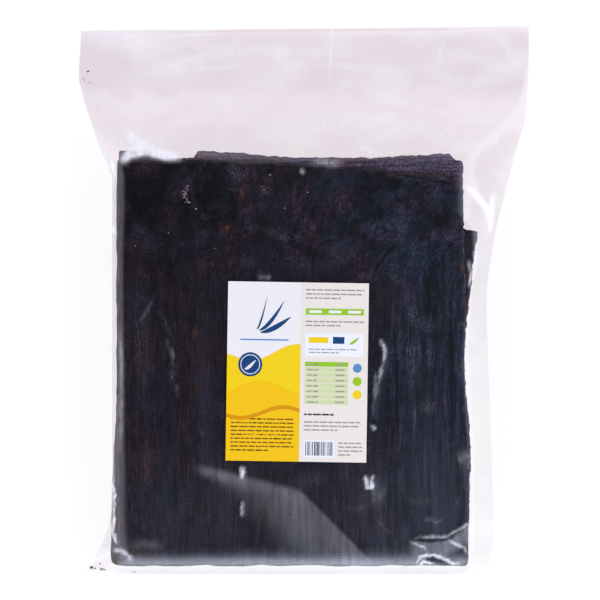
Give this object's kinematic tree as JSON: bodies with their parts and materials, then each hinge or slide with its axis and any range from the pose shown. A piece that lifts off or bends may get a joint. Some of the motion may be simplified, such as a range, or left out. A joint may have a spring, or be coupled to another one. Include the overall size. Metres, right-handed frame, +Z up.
{
  "type": "pack of dried wakame",
  "caption": "Sealed clear bag of dark pressed wakame sheets with a flat welded top, sloping shoulders and a printed paper label, lying on its back.",
  "frame": {"origin": "on the floor, under the middle of the lying pack", "axes": "+X to the right of the label, +Y to the welded top of the bag, +Z up out of the labelled side"},
  "size_m": [0.402, 0.486, 0.0601],
  "materials": {
    "bag": "near-black pressed leaves seen through clear film",
    "film": "clear glossy film with a faint pink cast",
    "wakame": "dry fibrous leaf, near black with brown and violet tints",
    "label": "smooth printed paper"
  },
  "bodies": {
    "root": {"bag": "bag", "label": "label"}
  },
  "joints": []
}
